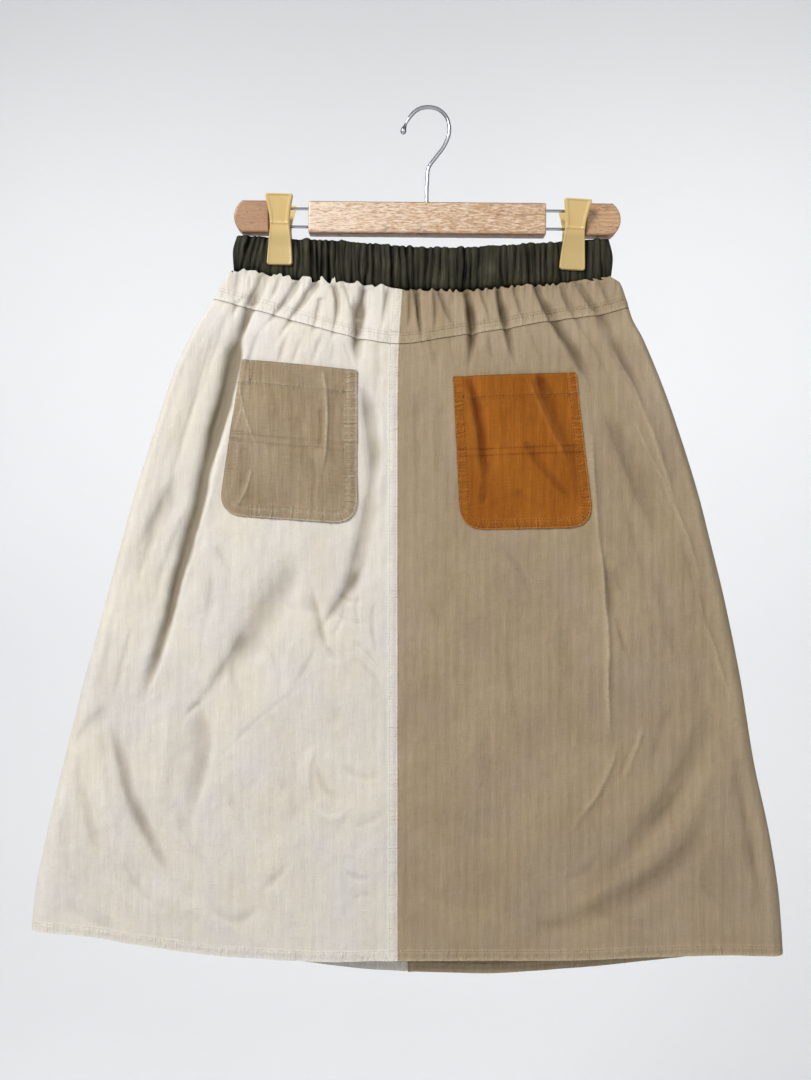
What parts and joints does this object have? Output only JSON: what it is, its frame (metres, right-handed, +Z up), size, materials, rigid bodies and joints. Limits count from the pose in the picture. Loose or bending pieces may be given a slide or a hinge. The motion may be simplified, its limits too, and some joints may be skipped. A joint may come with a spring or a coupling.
{
  "type": "utility skirt on clip hanger",
  "caption": "Gathered A-line utility skirt in two-tone cloth with patch pockets and an elastic waist, clipped to a wooden hanger with a wire hook.",
  "frame": {"origin": "inside of the hook's crown, where a rail or peg carries the hanger", "axes": "+Z up, +X to the right of someone facing the skirt's front, +Y from the front towards the back"},
  "size_m": [0.7124, 0.0348, 0.8278],
  "materials": {
    "cream_cloth": "matt cotton herringbone",
    "khaki_cloth": "matt cotton herringbone",
    "rust_cloth": "matt cotton twill",
    "olive_cloth": "smooth cotton twill with a faint sheen",
    "beech": "worn clear varnish",
    "clip_plastic": "moulded, satin",
    "bright_steel": "polished wire",
    "spring_steel": "plain"
  },
  "bodies": {
    "root": {"waistband": "olive_cloth", "yoke_front_left": "cream_cloth", "yoke_front_right": "khaki_cloth", "yoke_back_left": "cream_cloth", "yoke_back_right": "khaki_cloth", "panel_front_left": "cream_cloth", "panel_front_right": "khaki_cloth", "panel_back_left": "cream_cloth", "panel_back_right": "khaki_cloth", "pocket_left": "khaki_cloth", "pocket_right": "rust_cloth", "hanger_bar": "beech", "hanger_end_left": "beech", "hanger_end_right": "beech", "rod_upper_left": "bright_steel", "rod_lower_left": "bright_steel", "rod_upper_right": "bright_steel", "rod_lower_right": "bright_steel", "hook": "bright_steel", "clip_left_front": "clip_plastic", "clip_left_back": "clip_plastic", "clip_left_spring": "spring_steel", "clip_right_front": "clip_plastic", "clip_right_back": "clip_plastic", "clip_right_spring": "spring_steel"}
  },
  "joints": []
}
